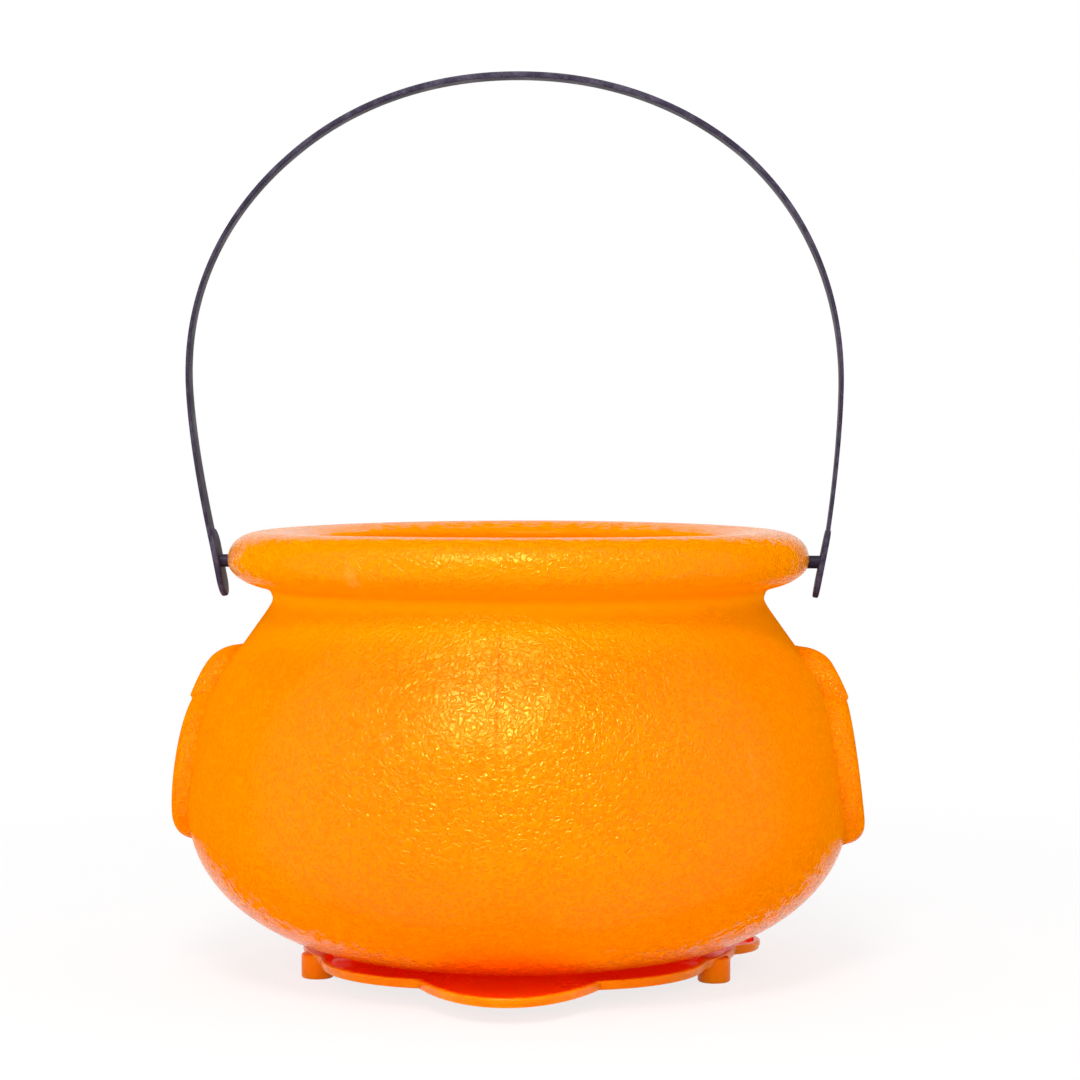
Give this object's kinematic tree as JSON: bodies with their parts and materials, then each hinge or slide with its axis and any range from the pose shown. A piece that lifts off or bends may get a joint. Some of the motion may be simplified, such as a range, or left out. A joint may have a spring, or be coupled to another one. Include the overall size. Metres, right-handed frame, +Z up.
{
  "type": "candy bucket",
  "caption": "Cauldron-shaped candy bucket: a round-bellied moulded pot with a hollow rolled rim, a swinging strap bail and a lobed base dish on peg feet.",
  "frame": {"origin": "on the floor under the peg feet, on the pot's axis", "axes": "+Z up along the pot's axis; X along the bail's studs, through the two side handles; the front, with the dish's large lip, is towards -Y"},
  "size_m": [0.2144, 0.204, 0.2782],
  "materials": {
    "pot_plastic": "satin orange polyethylene with a fine leathery moulded grain",
    "bail_plastic": "satin charcoal moulded plastic",
    "dish_plastic": "smooth orange injection-moulded plastic"
  },
  "bodies": {
    "pot_body": {"pot": "pot_plastic", "base_dish": "dish_plastic"},
    "bail_body": {"bail": "bail_plastic"}
  },
  "joints": [
    {"name": "bail_swing", "type": "hinge", "parent": "pot_body", "child": "bail_body", "pos_m": [0, 0, 0.1275], "axis": [1, 0, 0], "range_deg": [-140, 140]}
  ]
}
